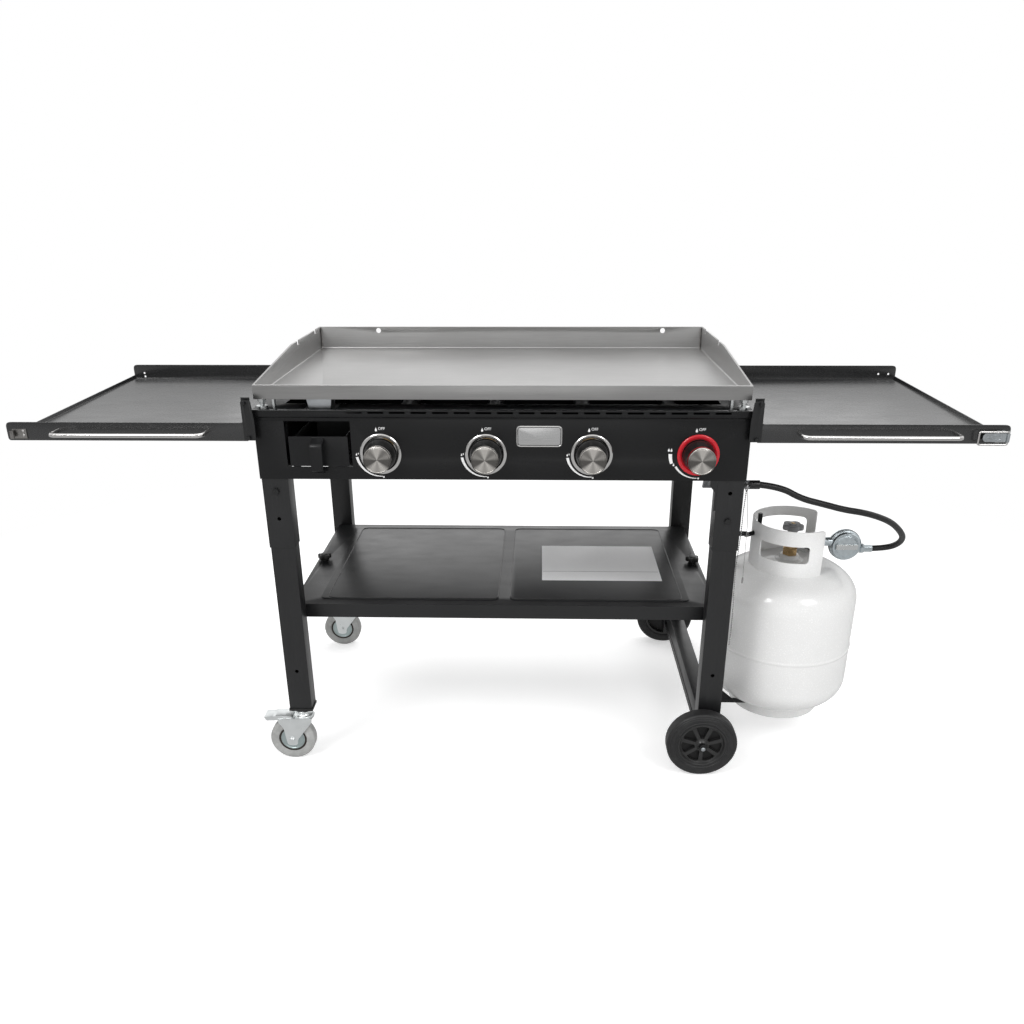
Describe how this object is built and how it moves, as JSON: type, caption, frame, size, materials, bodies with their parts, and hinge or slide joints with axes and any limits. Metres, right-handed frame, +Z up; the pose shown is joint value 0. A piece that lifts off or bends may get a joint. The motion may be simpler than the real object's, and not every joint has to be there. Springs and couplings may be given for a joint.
{
  "type": "outdoor gas griddle station",
  "caption": "Freestanding outdoor gas griddle station with a flat steel plate, folding side trays, bottom shelf, wheels, casters and a hanging gas tank.",
  "frame": {"origin": "on the floor under the middle of the object's bounding box", "axes": "+Z up; the control panel and its knobs face -Y; +X towards the side with the gas tank"},
  "size_m": [1.92, 0.684, 0.875],
  "materials": {
    "black_coat": "satin",
    "plate_steel": "satin",
    "stainless": "brushed",
    "bright_rod": "polished",
    "zinc": "satin",
    "brass": "satin",
    "tray_steel": "satin",
    "black_plastic": "satin",
    "grey_plastic": "satin",
    "black_tyre": "matte",
    "grey_tyre": "matte",
    "white_enamel": "gloss",
    "hose_rubber": "matte"
  },
  "bodies": {
    "station": {"assembly_bolts": "zinc", "bottom_shelf": "black_coat", "burners": "zinc", "caster_stems": "zinc", "control_panel": "black_coat", "firebox": "black_coat", "gas_hose": "hose_rubber", "gas_manifold": "zinc", "gas_valves": "brass", "grease_chute": "zinc", "grease_tray_runners": "zinc", "griddle_plate": "plate_steel", "hinge_brackets": "tray_steel", "hinge_straps": "tray_steel", "knob_bezels": "stainless", "leg_end_caps": "black_plastic", "leg_sleeves": "black_coat", "levelling_feet": "zinc", "lower_legs": "black_coat", "regulator": "grey_plastic", "shelf_rails": "black_coat", "tank_collar": "white_enamel", "tank_hook": "black_coat", "tank_shell": "white_enamel", "tank_steady": "black_coat", "tank_valve": "brass", "wheel_axle": "zinc", "wheel_rail": "black_coat"},
    "tray_left": {"side_tray_left": "black_coat", "tray_handle_left": "bright_rod", "latch_catch": "zinc"},
    "tray_right": {"side_tray_right": "black_coat", "tray_handle_right": "bright_rod", "latch_base": "zinc"},
    "latch_lever": {"latch_lever": "zinc"},
    "latch_bail": {"latch_bail": "bright_rod"},
    "grease_tray": {"grease_tray": "tray_steel"},
    "clamp_knob_left": {"clamp_knob_left": "black_plastic"},
    "clamp_knob_right": {"clamp_knob_right": "black_plastic"},
    "wheel_front": {"wheel_hub_front": "black_plastic", "wheel_tyre_front": "black_tyre"},
    "wheel_rear": {"wheel_hub_rear": "black_plastic", "wheel_tyre_rear": "black_tyre"},
    "caster_fork_front": {"caster_fork_front": "zinc"},
    "caster_fork_rear": {"caster_fork_rear": "zinc"},
    "caster_wheel_front": {"caster_wheel_front": "grey_tyre"},
    "caster_wheel_rear": {"caster_wheel_rear": "grey_tyre"},
    "caster_brake_front": {"caster_brake_front": "black_plastic"},
    "caster_brake_rear": {"caster_brake_rear": "black_plastic"},
    "tank_handwheel": {"tank_handwheel": "grey_plastic"},
    "coupling_nut": {"coupling_nut": "black_plastic"},
    "match_chain": {"match_chain": "bright_rod"},
    "valve_stem_1": {"valve_stem_1": "brass"},
    "knob_1": {"knob_1": "black_plastic"},
    "valve_stem_2": {"valve_stem_2": "brass"},
    "knob_2": {"knob_2": "black_plastic"},
    "valve_stem_3": {"valve_stem_3": "brass"},
    "knob_3": {"knob_3": "black_plastic"},
    "valve_stem_4": {"valve_stem_4": "brass"},
    "knob_4": {"knob_4": "black_plastic"}
  },
  "joints": [
    {"name": "tray_left_fold", "type": "hinge", "parent": "station", "child": "tray_left", "pos_m": [-0.485, 0, 0.8155], "axis": [0, 1, 0], "range_deg": [0, 180]},
    {"name": "tray_right_fold", "type": "hinge", "parent": "station", "child": "tray_right", "pos_m": [0.485, 0, 0.8155], "axis": [0, -1, 0], "range_deg": [0, 180]},
    {"name": "latch_lever_swing", "type": "hinge", "parent": "tray_right", "child": "latch_lever", "pos_m": [0.9455, -0.3035, 0.755], "axis": [0, 0, 1], "range_deg": [0, 90]},
    {"name": "latch_bail_swing", "type": "hinge", "parent": "latch_lever", "child": "latch_bail", "pos_m": [0.9435, -0.3093, 0.755], "axis": [0, 0, 1], "range_deg": [0, 90]},
    {"name": "knob_1_push", "type": "slide", "parent": "station", "child": "valve_stem_1", "axis": [0, 1, 0], "range_m": [0, 0.004], "stiffness_N_per_m": 400, "springref_m": -0.004},
    {"name": "knob_1_turn", "type": "hinge", "parent": "valve_stem_1", "child": "knob_1", "pos_m": [-0.233, -0.3, 0.714], "axis": [0, -1, 0], "range_deg": [0, 270]},
    {"name": "knob_2_push", "type": "slide", "parent": "station", "child": "valve_stem_2", "axis": [0, 1, 0], "range_m": [0, 0.004], "stiffness_N_per_m": 400, "springref_m": -0.004},
    {"name": "knob_2_turn", "type": "hinge", "parent": "valve_stem_2", "child": "knob_2", "pos_m": [-0.0295, -0.3, 0.714], "axis": [0, -1, 0], "range_deg": [0, 270]},
    {"name": "knob_3_push", "type": "slide", "parent": "station", "child": "valve_stem_3", "axis": [0, 1, 0], "range_m": [0, 0.004], "stiffness_N_per_m": 400, "springref_m": -0.004},
    {"name": "knob_3_turn", "type": "hinge", "parent": "valve_stem_3", "child": "knob_3", "pos_m": [0.174, -0.3, 0.714], "axis": [0, -1, 0], "range_deg": [0, 270]},
    {"name": "knob_4_push", "type": "slide", "parent": "station", "child": "valve_stem_4", "axis": [0, 1, 0], "range_m": [0, 0.004], "stiffness_N_per_m": 400, "springref_m": -0.004},
    {"name": "knob_4_turn", "type": "hinge", "parent": "valve_stem_4", "child": "knob_4", "pos_m": [0.3775, -0.3, 0.714], "axis": [0, -1, 0], "range_deg": [0, 270]},
    {"name": "grease_tray_slide", "type": "slide", "parent": "station", "child": "grease_tray", "axis": [0, -1, 0], "range_m": [0, 0.19]},
    {"name": "clamp_knob_left_turn", "type": "hinge", "parent": "station", "child": "clamp_knob_left", "pos_m": [-0.437, 0, 0.376], "axis": [0, 0, 1], "continuous": true},
    {"name": "clamp_knob_right_turn", "type": "hinge", "parent": "station", "child": "clamp_knob_right", "pos_m": [0.437, 0, 0.376], "axis": [0, 0, 1], "continuous": true},
    {"name": "wheel_front_spin", "type": "hinge", "parent": "station", "child": "wheel_front", "pos_m": [0.429, -0.3085, 0.076], "axis": [0, 1, 0], "continuous": true},
    {"name": "caster_front_swivel", "type": "hinge", "parent": "station", "child": "caster_fork_front", "pos_m": [-0.4457, -0.268, 0.11], "axis": [0, 0, 1], "continuous": true},
    {"name": "caster_front_roll", "type": "hinge", "parent": "caster_fork_front", "child": "caster_wheel_front", "pos_m": [-0.4737, -0.268, 0.05], "axis": [0, 1, 0], "continuous": true},
    {"name": "caster_front_brake", "type": "hinge", "parent": "caster_fork_front", "child": "caster_brake_front", "pos_m": [-0.4957, -0.268, 0.103], "axis": [0, -1, 0], "range_deg": [0, 10]},
    {"name": "wheel_rear_spin", "type": "hinge", "parent": "station", "child": "wheel_rear", "pos_m": [0.429, 0.3085, 0.076], "axis": [0, 1, 0], "continuous": true},
    {"name": "caster_rear_swivel", "type": "hinge", "parent": "station", "child": "caster_fork_rear", "pos_m": [-0.4457, 0.268, 0.11], "axis": [0, 0, 1], "continuous": true},
    {"name": "caster_rear_roll", "type": "hinge", "parent": "caster_fork_rear", "child": "caster_wheel_rear", "pos_m": [-0.4737, 0.268, 0.05], "axis": [0, 1, 0], "continuous": true},
    {"name": "caster_rear_brake", "type": "hinge", "parent": "caster_fork_rear", "child": "caster_brake_rear", "pos_m": [-0.4957, 0.268, 0.103], "axis": [0, -1, 0], "range_deg": [0, 10]},
    {"name": "tank_handwheel_turn", "type": "hinge", "parent": "station", "child": "tank_handwheel", "pos_m": [0.636, -0.088, 0.498], "axis": [0, 0, 1], "continuous": true},
    {"name": "coupling_nut_turn", "type": "hinge", "parent": "station", "child": "coupling_nut", "pos_m": [0.685, -0.088, 0.459], "axis": [1, 0, 0], "continuous": true},
    {"name": "match_chain_swing", "type": "hinge", "parent": "station", "child": "match_chain", "pos_m": [0.48, -0.272, 0.65], "axis": [1, 0, 0], "range_deg": [-35, 3]}
  ]
}
